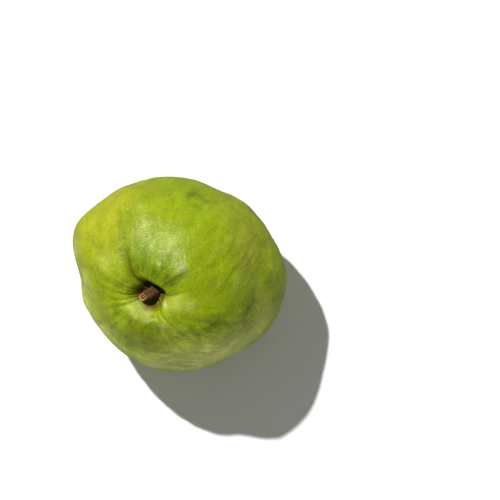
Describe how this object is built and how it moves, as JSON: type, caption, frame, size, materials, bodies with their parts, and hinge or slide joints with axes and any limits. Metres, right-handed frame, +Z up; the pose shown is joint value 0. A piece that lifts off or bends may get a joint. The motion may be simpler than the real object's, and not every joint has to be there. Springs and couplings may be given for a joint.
{
  "type": "guava",
  "caption": "Whole green guava: a round, unevenly lobed fruit with a woody stalk end in a creased hollow and a dried calyx, resting on a small flat spot.",
  "frame": {"origin": "on the surface it rests on, under the middle of the fruit's outer box", "axes": "+Z up, out of the side that carries the stalk end; +X along the fruit's widest direction"},
  "size_m": [0.0866, 0.079, 0.0769],
  "materials": {
    "skin": "waxy green fruit skin with yellow and darker green patches, fine pores and a soft gloss",
    "stalk": "rough dry brown bark with a pale cut end",
    "calyx": "dry, wrinkled brown sepals"
  },
  "bodies": {
    "root": {"guava_fruit": "skin", "stem_stub": "stalk", "calyx_crown": "calyx"}
  },
  "joints": []
}
